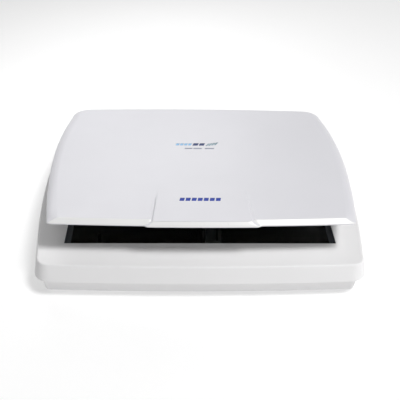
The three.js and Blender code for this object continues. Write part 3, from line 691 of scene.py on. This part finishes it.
def base_tray():
    """The lower case: walls that lean in to a flat bottom, stepped back under the skirt."""
    round_bottom = 0.9
    flange_bottom, flange_top = SKIRT_BOTTOM + 0.5, SKIRT_BOTTOM + 2.2
    flange_inset, flange_draft = WALL - FLARE + 0.6, 0.2
    across, along, corner = 24, 18, 7
    lean = (TRAY_INSET_BOTTOM - TRAY_INSET_TOP) / (SKIRT_BOTTOM - TRAY_BOTTOM)
    floor = TRAY_BOTTOM + WALL
    outer = [(TRAY, TRAY_INSET_BOTTOM + 5, TRAY_BOTTOM)]
    for turn in quarter_turn(5):
        outer.append((TRAY, TRAY_INSET_BOTTOM + round_bottom * (1 - sin(turn)),
                      TRAY_BOTTOM + round_bottom * (1 - cos(turn))))
    outer += [
        (TRAY, TRAY_INSET_BOTTOM - lean * 4, TRAY_BOTTOM + round_bottom + 2),
        (TRAY, TRAY_INSET_TOP, flange_bottom),
        (BASE, flange_inset, flange_bottom),
        (BASE, flange_inset + flange_draft, flange_top),
        (TRAY, TRAY_INSET_TOP + WALL, flange_top),
        (TRAY, TRAY_INSET_BOTTOM + WALL, floor + 1),
        (TRAY, TRAY_INSET_BOTTOM + WALL + 1, floor),
    ]
    places = walk(even(across), along, corner)
    columns, rows = across + 2 * corner, along + 2 * corner
    bm = bmesh.new()
    made = add_rings(bm, [flat_ring(*ring, places) for ring in outer])
    fill_ring(bm, made[0], columns, rows, facing_up=False)
    fill_ring(bm, made[-1], columns, rows)
    piece = new_piece("bottom_case", bm, MATERIALS["base_white"])
    cut(piece, *port_holes(), lock_slot(), *screw_wells())
    # Paints the faces inside the case near black: partly a black finish, partly painted shade.
    paint(piece, MATERIALS["inner_black"], lambda middle, normal: middle.z > floor - 0.1
          and (normal.z > 0.5 or normal.x * middle.x + normal.y * middle.y < 0))
    weigh_normals(piece)
    place(piece, "base", "base_white", "base_tray")


def port_holes():
    """Openings in the back wall round the two sockets."""
    gap, reach, rounding = 0.5, 20, 0.6
    holes = []
    for node in ("usb_shell", "power_jack"):
        low, high = box_of(node)
        holes.append(((low.x - gap, low.y, low.z - gap),
                      (high.x + gap, high.y + reach, high.z + gap), rounding))
    return holes


def lock_slot():
    """The slot in the floor that the transport lock slides along."""
    top, rounding = TRAY_BOTTOM + 4, 0.8
    return ((lock_low.x - LOCK_GAP, lock_low.y - LOCK_GAP, TRAY_BOTTOM - CUT_PAST),
            (lock_high.x + LOCK_GAP, lock_high.y + LOCK_GAP + LOCK_TRAVEL, top), rounding)


def lock_shutter():
    """The thin plate on the lock that keeps its slot covered, wherever the lock stands."""
    lap, lift, thickness, rounding = 2, 0.15, 0.6, 0.2
    bottom = TRAY_BOTTOM + WALL + lift
    bm = bmesh.new()
    add_block(bm, (lock_low.x - lap, lock_low.y - LOCK_TRAVEL - lap, bottom),
              (lock_high.x + lap, lock_high.y + LOCK_TRAVEL + lap, bottom + thickness),
              rounding, 2)
    # Near black inside the case: partly painted shade.
    piece = new_piece("lock_shutter", bm, MATERIALS["inner_black"])
    place(piece, "transport_lock", "inner_black")


def screw_wells():
    """Sunk wells in the underside round the four case screws."""
    half, depth, rounding = 4.2, 2.2, 1.8
    wells = []
    for corner in CORNERS:
        low, high = box_of(f"case_screw_{corner}")
        x, y = (low.x + high.x) / 2, (low.y + high.y) / 2
        wells.append(((x - half, y - half, TRAY_BOTTOM - CUT_PAST),
                      (x + half, y + half, TRAY_BOTTOM + depth), rounding))
    return wells


# ---------------- lid shell

def lid_top(y):
    """Height of the closed lid's top near its edge, steep in front and flatter at the back."""
    share = min(max((y - LID.front) / (LID.rear - LID.front), 0), 1)
    climbed = 1 - (1 - share) ** LID_RISE_POWER
    return LID_RIM + mix(LID_RISE_FRONT, LID_RISE_REAR, climbed)


def lid_crown(x, y):
    """How far the top is domed above its edge."""
    across = 1 - (abs(x) / LID.rear_half) ** 2
    along = (y - LID.front) * (LID.rear - y) / ((LID.rear - LID.front) / 2) ** 2
    return LID_CROWN * max(across, 0) * max(along, 0)


def lid_rim(y):
    """Height of the rim. It rises just before the hinge, so that its back clears the deck."""
    return LID_RIM + REAR_RIM_LIFT * ease(y, *REAR_RIM_RANGE)


def grip_side(y):
    """Half width of the grip on the lid's top."""
    share = (y - LID_CREST.front) / (GRIP_REAR - LID_CREST.front)
    return mix(GRIP_HALF_CREST, GRIP_HALF_REAR, share)


def grip_line(share):
    """Half width of the grip on the front bevel, which flares out to the rim."""
    return mix(GRIP_HALF_RIM, GRIP_HALF_CREST, smooth(share))


def front_columns():
    """Distances from the middle at which the lid's front edge gets a point, for one side.

    They are close together at the grip's groove, which follows the column GRIP_HALF_CREST."""
    groove = [GRIP_HALF_CREST + GROOVE * step / 2 for step in range(-2, 3)]
    inner = [0, 10, 20, 30, 38, 44, 48, 51]
    outer = [58, 60, 62.5, 66, 71, 77, 84] + [92 + 10 * i for i in range(7)]
    return inner + groove + outer


COLUMN_END = LID.front_half - LID.front_radius
COLUMNS = sorted({-column for column in front_columns()} | set(front_columns()))
SHARES = [0] + [(1 + column / COLUMN_END) / 2 for column in COLUMNS]


def column_of(share):
    """The column, in millimetres from the middle, at a share of the front edge's length."""
    return (2 * share - 1) * COLUMN_END


LID_SIDE_STEPS = 40
LID_CORNER_STEPS = 6
LID_WALK = walk(SHARES, LID_SIDE_STEPS, LID_CORNER_STEPS)
GRID_COLUMNS = len(SHARES) + 2 * LID_CORNER_STEPS
GRID_ROWS = LID_SIDE_STEPS + 2 * LID_CORNER_STEPS
COLUMN_AT = {LID_CORNER_STEPS + i: column_of(share) for i, share in enumerate(SHARES)}
GRIP_LEFT, GRIP_RIGHT = [i for i, column in COLUMN_AT.items()
                         if abs(abs(column) - GRIP_HALF_CREST) < 0.01]


def column_weight(column):
    """How far a column moves with the grip's side: all the way at the side, and not at all in
    the middle or at the end of the edge."""
    reach = abs(column)
    if reach < GRIP_HALF_CREST:
        return reach / GRIP_HALF_CREST
    return max((COLUMN_END - reach) / (COLUMN_END - GRIP_HALF_CREST), 0)


def column_x(column, line, end):
    """Where a column lies when the grip's side is at line and the last column is at end."""
    reach = abs(column)
    if reach < GRIP_HALF_CREST:
        x = line * reach / GRIP_HALF_CREST
    else:
        x = mix(end, line, column_weight(column))
    return x if column > 0 else -x


def grip_inside(column, share):
    """1 on the grip and 0 beside it. share is 0 at the rim and 1 at the crest."""
    outside, inside = mix(3, 0.4, share), mix(1.5, 4, share)
    return ease(abs(column), GRIP_HALF_CREST + outside, GRIP_HALF_CREST - inside)


def groove_profile(column):
    """Height across the grip's side: level outside, a fine groove, and raised inside."""
    inside = (GRIP_HALF_CREST - abs(column)) / GROOVE
    return GRIP_RAISE * smooth(inside) - GROOVE_DEPTH * max(1 - abs(inside), 0)


def lid_top_point(x, y, column):
    """A point of the lid's top. The grip is raised, and its front reaches forward and down."""
    near = ease(y, *GRIP_FRONT_RANGE) * grip_inside(column, 1)
    raised = ease(y, *GRIP_REAR_RANGE) * groove_profile(column)
    height = lid_top(y) + lid_crown(x, y) - GRIP_CREST_DROP * near + raised
    return Vector((x, y - GRIP_CREST_REACH * near, height))


def lid_edge_point(where, share):
    """A point on the lid's edge. share is 0 at the top of the wall and 1 on the crest."""
    rim, crest = outline_point(LID, 0, where), outline_point(LID_CREST, 0, where)
    back = rim[1] - LID.front
    roll = ease(back, *BEVEL_TO_ROLL)
    drop = mix(BEVEL_DROP, ROLL_DROP, ease(back, *ROLL_DROP_RANGE))
    turn = share * pi / 2
    inset = mix(share, 1 - cos(turn), roll)
    x, y = mix(rim[0], crest[0], inset), mix(rim[1], crest[1], inset)
    height = lid_top(y) - drop * mix(1 - share, 1 - sin(turn), roll)
    if where[0] != 0:
        return Vector((x, y, height))
    column = column_of(where[1])
    inside = grip_inside(column, share)
    end = mix(COLUMN_END, LID_CREST.front_half - LID_CREST.front_radius, share)
    x = column_x(column, grip_line(share), end)
    forward = mix(GRIP_REACH, GRIP_CREST_REACH, share) * inside
    raised = share * (groove_profile(column) - GRIP_CREST_DROP * inside)
    return Vector((x, y - forward, height + raised))


def lid_crest_point(where, extra):
    """A point on the lid's top, extra millimetres in from the crest."""
    x, y = outline_point(LID_CREST, extra, where)
    if where[0] != 0:
        return Vector((x, y, lid_top(y) + lid_crown(x, y)))
    column = column_of(where[1])
    end = abs(outline_point(LID_CREST, extra, (0, 0))[0])
    return lid_top_point(column_x(column, grip_side(y), end), y, column)


def steer(grid):
    """Draws the grid's columns along the grip's sides, and puts its points on the lid's top."""
    steered = {}
    for (i, j), point in grid.items():
        column = COLUMN_AT.get(i, COLUMN_END)
        side = grid[GRIP_LEFT if i < GRID_COLUMNS / 2 else GRIP_RIGHT, j]
        pull = ease(point.y, *STEER_RANGE) * column_weight(column)
        shift = pull * (grip_side(point.y) - abs(side.x))
        x = point.x + (shift if side.x > 0 else -shift)
        steered[i, j] = lid_top_point(x, point.y, column)
    return steered


def lid_rim_point(where, inset, lift):
    """A point inset from the lid's outside, and lift above its rim."""
    foot = lid_edge_point(where, 0)
    x, y = outline_point(LID, inset, where)
    if where[0] == 0:
        x, y = foot.x, foot.y + inset
    return Vector((x, y, lid_rim(y) + lift))


def wall_top(where):
    """The top of the lid's outer wall, just under its bevel or roll."""
    return lid_edge_point(where, 0) - Vector((0, 0, 0.25))


def inner_wall_top(where):
    """The top of the lid's inner wall, level with that of the outer wall."""
    top = wall_top(where)
    return lid_rim_point(where, LID_WALL, max(top.z - lid_rim(top.y), 0.6))


def under_top(point):
    """The point of the lid's inner surface that lies straight under a point of its top."""
    height = lid_top(point.y) + lid_crown(point.x, point.y) - LID_WALL
    return Vector((point.x, point.y, height))


def lid_ring(point_at, *details):
    return [point_at(where, *details) for where in LID_WALK]


def lid_outside_rings():
    """The lid's rings from the inner edge of its rim, round the outside, to its top."""
    rim = ((LID_WALL - 0.3, 0), (0.35, 0), (0.08, 0.08), (0, 0.35))
    edge = (0.05, 0.2, 0.35, 0.5, 0.65, 0.8, 0.95)
    return ([lid_ring(lid_rim_point, inset, lift) for inset, lift in rim]
            + [lid_ring(wall_top)]
            + [lid_ring(lid_edge_point, share) for share in edge]
            + [lid_ring(lid_crest_point, extra) for extra in (0.3, 1.2, 3)])


def lid_inside_rings():
    """The lid's rings from its rim up the inner wall to the underside of its top."""
    ceiling = flat_ring(LID_CREST, 1.5, 0, LID_WALK)
    return [lid_ring(lid_rim_point, LID_WALL, 0.3), lid_ring(inner_wall_top),
            [under_top(point) for point in ceiling]]


def on_front_bevel(middle, normal):
    """Whether a face of the closed lid is part of its front bevel, which gets a painted highlight.
    """
    return normal.y < -0.4 and normal.z > 0.2 and middle.y < LID_CREST.front + LID.bow


def lid_shell():
    """The lid's outer shell, with its inner wall and the lugs that hold the hinge pins."""
    bm = bmesh.new()
    outer = add_rings(bm, lid_outside_rings())
    fill_ring(bm, outer[-1], GRID_COLUMNS, GRID_ROWS, steer)
    inner = add_rings(bm, lid_inside_rings())
    bridge(bm, outer[0], inner[0])
    fill_ring(bm, inner[-1], GRID_COLUMNS, GRID_ROWS,
              lambda grid: {place: under_top(point) for place, point in grid.items()})
    piece = new_piece("lid_case", bm, MATERIALS["lid_white"])
    cut(piece, *[leg_notch(side) for side in (-1, 1)])
    # The front bevel gets the lighter white: a painted highlight.
    paint(piece, MATERIALS["bevel_painted_highlight"], on_front_bevel)
    add_lugs(piece)
    turn_in_place(piece, TURN_OPEN)
    weigh_normals(piece)
    place(piece, "lid", "lid_white", "lid_shell")


def leg_notch(side):
    """The gap in the lid's back wall that a hinge leg swings through."""
    x0, x1, _, _ = leg_box(side)
    gap, past, above, rounding = 0.6, 10, 4.8, 0.8
    return ((x0 - gap, HINGE.y, LID_RIM - past),
            (x1 + gap, LID.rear + past, HINGE.z + above), rounding)


def add_lugs(piece):
    """Four ears on the lid, a pair beside each leg, with a hinge pin through each pair."""
    gap, thickness, radius, steps = 0.35, 3, 3, 10
    top_front, top_rear = lid_top(HINGE.y) - 2, lid_top(HINGE.y) - 4.5
    turns = [pi * i / steps for i in range(steps + 1)]
    bm = bmesh.new()
    bm.from_mesh(piece.data)
    for side in (-1, 1):
        x0, x1, _, _ = leg_box(side)
        for low in (x0 - gap - thickness, x1 + gap):
            profile = [(HINGE.y - radius * cos(turn), HINGE.z - radius * sin(turn))
                       for turn in turns]
            profile += [(HINGE.y + radius, top_rear), (HINGE.y - radius, top_front)]
            near = [bm.verts.new(Vector((low, y, z)) * MM) for y, z in profile]
            far = [bm.verts.new(Vector((low + thickness, y, z)) * MM) for y, z in profile]
            bridge(bm, near, far)
            bm.faces.new(near)
            bm.faces.new(far[::-1])
    write_mesh(bm, piece.data)


# ---------------- pad, feet and screws

def document_pad():
    """The foam pad that presses the sheet flat, with soft edges and a slightly full middle."""
    low, high = closed_box_of("document_pad")
    radius, fullness, edge = 4, 0.25, 0.9
    across, along, corner = 30, 22, 4
    plan = plain_plan(low.y, high.y, high.x, radius)
    places = walk(even(across), along, corner)
    columns, rows = across + 2 * corner, along + 2 * corner

    def full(grid):
        """The underside's points, which hang lowest in the middle."""
        points = {}
        for spot, point in grid.items():
            sag_x = 1 - (point.x / high.x) ** 4
            sag_y = 1 - ((2 * point.y - low.y - high.y) / (high.y - low.y)) ** 4
            points[spot] = Vector((point.x, point.y, low.z + fullness * (1 - sag_x * sag_y)))
        return points

    rings = [flat_ring(plan, edge + radius, low.z + fullness, places)]
    for turn in quarter_turn(4):
        rings.append(flat_ring(plan, edge * (1 - sin(turn)),
                               low.z + fullness + edge * (1 - cos(turn)), places))
    for turn in quarter_turn(4):
        rings.append(flat_ring(plan, edge * (1 - cos(turn)),
                               high.z - edge * (1 - sin(turn)), places))
    bm = bmesh.new()
    made = add_rings(bm, rings)
    fill_ring(bm, made[0], columns, rows, full, facing_up=False)
    fill_ring(bm, made[-1], columns, rows)
    piece = new_piece("foam_pad", bm, MATERIALS["pad_white"], TURN_OPEN)
    place(piece, "lid", "pad_white", "document_pad")


def foot(corner):
    """A rubber foot: a tapered disc with a ringed tread."""
    low, high = box_of(f"foot_{corner}")
    radius = (high.x - low.x) / 2
    tread = [(0, 0.5), (2.2, 0.5), (2.5, 0.05), (3.1, 0.05), (3.4, 0.5), (4.4, 0.5), (4.7, 0.05)]
    wall = [(radius - 1.5, 0), (radius - 1.0, 0.12), (radius - 0.75, 0.5),
            (radius, high.z - 0.6), (radius - 0.1, high.z - 0.15), (radius - 0.4, high.z),
            (0, high.z)]
    bm = bmesh.new()
    add_lathe(bm, tread + wall, ((low.x + high.x) / 2, (low.y + high.y) / 2), 48)
    piece = new_piece(f"rubber_foot_{corner}", bm, MATERIALS["foot_rubber"])
    weigh_normals(piece)
    place(piece, "base", "foot_rubber", f"foot_{corner}")


def screw(node, body, head_down, closed=False):
    """A cross-head screw in place of a CAD screw.

    head_down says that its head is its lower end, and closed that it sits in the lid."""
    low, high = closed_box_of(node) if closed else box_of(node)
    radius = (high.x - low.x) / 2
    centre = ((low.x + high.x) / 2, (low.y + high.y) / 2)
    head, shank, thread = 0.62 * radius, 0.42 * radius, 0.5
    profile = [(0, 0), (0.5 * radius, 0.03 * radius), (0.85 * radius, 0.16 * radius),
               (radius, 0.4 * radius), (radius, head), (shank, head)]
    length = high.z - low.z
    turns = int((length - head - 1) / thread)
    for i in range(turns):
        start = head + 0.3 + i * thread
        profile += [(shank * 0.86, start), (shank, start + thread / 2)]
    profile += [(shank * 0.6, length - 0.3), (0, length)]
    bm = bmesh.new()
    add_lathe(bm, profile, (0, 0), 28)
    piece = new_piece(f"cross_{node}", bm, MATERIALS["zinc_plate"])
    arm, slot, depth, rounding = 0.55 * radius, 0.12 * radius, 0.38 * radius, 0.02
    cut(piece, ((-arm, -slot, -1), (arm, slot, depth), rounding),
        ((-slot, -arm, -1), (slot, arm, depth), rounding))
    flip = Matrix.Identity(4) if head_down else Matrix.Rotation(pi, 4, "X")
    end = low.z if head_down else high.z
    move = Matrix.Translation((*centre, end)) @ flip
    if closed:
        move = TURN_OPEN @ move
    turn_in_place(piece, move)
    weigh_normals(piece)
    place(piece, body, "zinc_plate", node)


# ---------------- printed marks

def lid_surface(x, y, lift):
    """A point of the lid's top, raised by lift."""
    return Vector((x, y, lid_top_point(x, y, 0).z + lift))


def add_ink(bm, corners):
    """Adds a thin printed patch between four corners (x, y), anticlockwise, on the lid."""
    a, b, c, d = (Vector(corner) for corner in corners)
    across, along = 6, 2
    gap, thickness = 0.02, 0.05
    layers = []
    for lift in (gap, gap + thickness):
        rows = []
        for j in range(along + 1):
            start, end = a.lerp(d, j / along), b.lerp(c, j / along)
            flat = [start.lerp(end, i / across) for i in range(across + 1)]
            rows.append([bm.verts.new(lid_surface(p.x, p.y, lift)) for p in flat])
        layers.append(rows)
    for rows, facing_up in zip(layers, (False, True)):
        for j in range(along):
            for i in range(across):
                quad = [rows[j][i], rows[j][i + 1], rows[j + 1][i + 1], rows[j + 1][i]]
                bm.faces.new(quad if facing_up else quad[::-1])
    borders = []
    for rows in layers:
        border = rows[0] + [row[-1] for row in rows[1:]] + rows[-1][-2::-1]
        borders.append(border + [row[0] for row in rows[-2:0:-1]])
    bridge(bm, borders[0], borders[1])


def ink_piece(name, ink, patches):
    """One printed piece on the lid, made of patches in one ink."""
    bm = bmesh.new()
    for corners in patches:
        add_ink(bm, corners)
    piece = new_piece(name, bm, MATERIALS[ink], TURN_OPEN)
    place(piece, "lid", "lid_white")


def slanted(x0, x1, y0, y1, lean):
    """The corners of a patch from x0 to x1 whose far edge is shifted right by lean."""
    return ((x0, y0), (x1, y0), (x1 + lean, y1), (x0 + lean, y1))


def marks_in_row(start, pitch, width, count):
    """The two ends in x of each of count equal marks in a row."""
    return [(start + pitch * i, start + pitch * i + width) for i in range(count)]


def printed_marks():
    """Two generic marks: a row of blue tiles in front, and dashes with a leaf of bars behind."""
    tiles = [slanted(*ends, -99.4, -93.2, 1) for ends in marks_in_row(-25, 6.7, 5.2, 7)]
    dashes = [slanted(*ends, 25.2, 30.4, 1.5) for ends in marks_in_row(-30, 5.2, 4, 4)]
    blocks = [slanted(*ends, 24.8, 31, 2) for ends in marks_in_row(-8.5, 8, 6.5, 2)]
    bars = [slanted(*ends, 24 + 0.8 * i, 30.2 + 1.1 * i, 4)
            for i, ends in enumerate(marks_in_row(8, 3.6, 2.4, 4))]
    lines = [slanted(*ends, 15.8, 18.6, 0.5) for ends in ((-18.5, -9), (-7.5, 3), (7, 18.5))]
    ink_piece("front_mark", "blue_ink", tiles)
    ink_piece("rear_mark_sky", "sky_ink", dashes)
    ink_piece("rear_mark_navy", "navy_ink", blocks)
    ink_piece("rear_mark_teal", "teal_ink", bars)
    ink_piece("rear_mark_grey", "grey_ink", lines)


# ---------------- carried-over CAD nodes

# The CAD nodes that keep their own mesh, by material. Those that aren't listed are nylon_white.
FINISHES = {
    "clear_glass": ["glass_pane", "sensor_window"],
    "border_film": ["glass_border"],
    # These parts inside the case take the near black that is partly painted shade.
    "inner_black": ["scan_well", "support_rail", "carriage_frame", "carriage_lock"],
    "chip_black": ["sensor_bar", "power_jack", "processor_chip", "sensor_glider_front",
                   "sensor_glider_rear"],
    "reference_white": ["reference_strip"],
    "foot_rubber": ["drive_belt", "lid_bumper_left", "lid_bumper_right"],
    "liner_white": ["lid_liner"],
    "plain_steel": ["guide_rod", "hinge_pin_left", "hinge_pin_right", "pulley_axle_left",
                    "pulley_axle_right", "motor_body", "power_jack_pin",
                    "sensor_spring_front", "sensor_spring_rear"],
    "zinc_plate": ["rod_bracket_left", "rod_bracket_right", "motor_bracket", "usb_shell"],
    "board_green": ["main_board"],
}
NODE_FINISH = {node: finish for finish, nodes in FINISHES.items() for node in nodes}
WELD_REACH = 0.00001
EDGE_WIDTH = 0.0002
SPRING_EDGE_WIDTH = 0.00005


def finish_node(name, node):
    """Gives a CAD node its material, and small rounded edges by modifiers."""
    node.data.materials.clear()
    node.data.materials.append(MATERIALS[NODE_FINISH.get(name, "nylon_white")])
    node.data.shade_smooth()
    weld = node.modifiers.new("weld", "WELD")
    weld.merge_threshold = WELD_REACH
    rounding = node.modifiers.new("round_edges", "BEVEL")
    rounding.width = SPRING_EDGE_WIDTH if "spring" in name else EDGE_WIDTH
    rounding.segments = 2
    rounding.limit_method = "ANGLE"
    rounding.angle_limit = radians(32)
    rounding.harden_normals = True


# ---------------- camera, floor and light

def studio_floor():
    """A pale glowing sweep: flat round the object, and curving up far from it."""
    steps, step_turn = 9, radians(7)
    material, tree, shader = new_material("studio_floor")
    link_colours(tree, add_noise(tree, 3, 2), shader.inputs["Base Color"],
                 (0.56, 0.56, 0.56), (0.58, 0.58, 0.58))
    set_inputs(shader, {"Roughness": 0.9, "Emission Color": (1, 1, 1, 1),
                        "Emission Strength": FLOOR_GLOW})
    profile = [(0, 0)]
    for i in range(steps):
        turn = step_turn * i
        profile.append((FLOOR_FLAT + FLOOR_BEND * sin(turn), FLOOR_BEND * (1 - cos(turn))))
    bm = bmesh.new()
    add_lathe(bm, profile, (0, 0), 64)
    floor = new_piece("studio_floor", bm, material)


def add_camera():
    data = bpy.data.cameras.new("camera")
    data.lens = CAMERA_LENS
    data.clip_start = 0.01
    camera = bpy.data.objects.new("camera", data)
    camera.matrix_world = (Matrix.Translation(CAMERA_PLACE * MM)
                           @ Matrix.Rotation(-CAMERA_TURN, 4, "Z")
                           @ Matrix.Rotation(pi / 2 - CAMERA_PITCH, 4, "X")
                           @ Matrix.Rotation(CAMERA_ROLL, 4, "Z"))
    bpy.context.scene.collection.objects.link(camera)
    bpy.context.scene.camera = camera


def add_softbox(name, direction, distance, size, power):
    """A square area light that shines at the object. direction leads from the object to it."""
    data = bpy.data.lights.new(name, "AREA")
    data.energy = power
    data.size = size
    light = bpy.data.objects.new(name, data)
    outwards = Vector(direction).normalized()
    light.location = outwards * distance + Vector((0, 0, LIGHT_AIM_HEIGHT))
    light.rotation_euler = outwards.to_track_quat("Z", "Y").to_euler()
    light.visible_camera = False
    bpy.context.scene.collection.objects.link(light)


def add_world():
    """An even white surround that faintly lights the scene from all sides."""
    world = bpy.data.worlds.new("studio")
    world.use_nodes = True
    background = world.node_tree.nodes["Background"]
    set_inputs(background, {"Color": (1, 1, 1, 1), "Strength": WORLD_GLOW})
    bpy.context.scene.world = world


# ---------------- the scene

add_camera()
bpy.context.scene.view_settings.view_transform = "Standard"
for name, node in frame["nodes"].items():
    finish_node(name, node)
base_cover()
base_tray()
lock_shutter()
lid_shell()
document_pad()
for corner in CORNERS:
    foot(corner)
    screw(f"case_screw_{corner}", "base", head_down=True)
for side in ("left", "right"):
    screw(f"board_screw_{side}", "base", head_down=False)
    for end in ("front", "rear"):
        screw(f"lid_screw_{end}_{side}", "lid", head_down=True, closed=True)
printed_marks()
studio_floor()
for softbox in SOFTBOXES:
    add_softbox(*softbox)
add_world()
